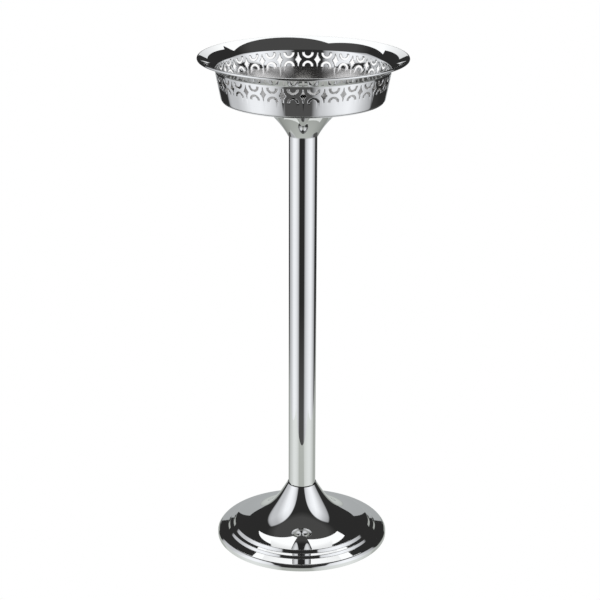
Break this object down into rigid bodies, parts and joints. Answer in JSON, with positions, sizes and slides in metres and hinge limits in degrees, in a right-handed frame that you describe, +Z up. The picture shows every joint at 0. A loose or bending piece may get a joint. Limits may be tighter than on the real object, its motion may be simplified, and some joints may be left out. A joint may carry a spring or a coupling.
{
  "type": "champagne bucket stand",
  "caption": "Polished steel floor stand that holds a champagne bucket: flared pierced basket on a funnel neck, slim tube column and weighted round base.",
  "frame": {"origin": "on the floor, under the column's axis, at the height of the rubber feet's undersides", "axes": "+Z up along the column; the front, where one star-shaped hole is centred, faces -Y"},
  "size_m": [0.2486, 0.2485, 0.62],
  "materials": {
    "mirror_steel": "mirror-polished stainless steel",
    "turned_steel": "turned stainless steel, left unpolished",
    "zinc_steel": "zinc-plated steel",
    "cast_iron": "rough cast iron with a thin dark primer",
    "black_paint": "satin black powder coat",
    "black_rubber": "moulded matte black rubber"
  },
  "bodies": {
    "root": {"basket": "mirror_steel", "neck_funnel": "mirror_steel", "neck_socket": "turned_steel", "column_tube": "mirror_steel", "head_flat_washer": "mirror_steel", "head_spring_washer": "mirror_steel", "head_cap_nut": "mirror_steel", "tie_rod": "zinc_steel", "base_nut": "zinc_steel", "base_spring_washer": "zinc_steel", "base_flat_washer": "zinc_steel", "base_shell": "mirror_steel", "base_weight": "cast_iron", "bottom_plate": "black_paint", "rubber_bumper_1": "black_rubber", "rubber_bumper_2": "black_rubber", "rubber_bumper_3": "black_rubber", "rubber_bumper_4": "black_rubber", "plate_screw_1": "zinc_steel", "plate_screw_2": "zinc_steel", "plate_screw_3": "zinc_steel", "plate_screw_4": "zinc_steel"}
  },
  "joints": []
}
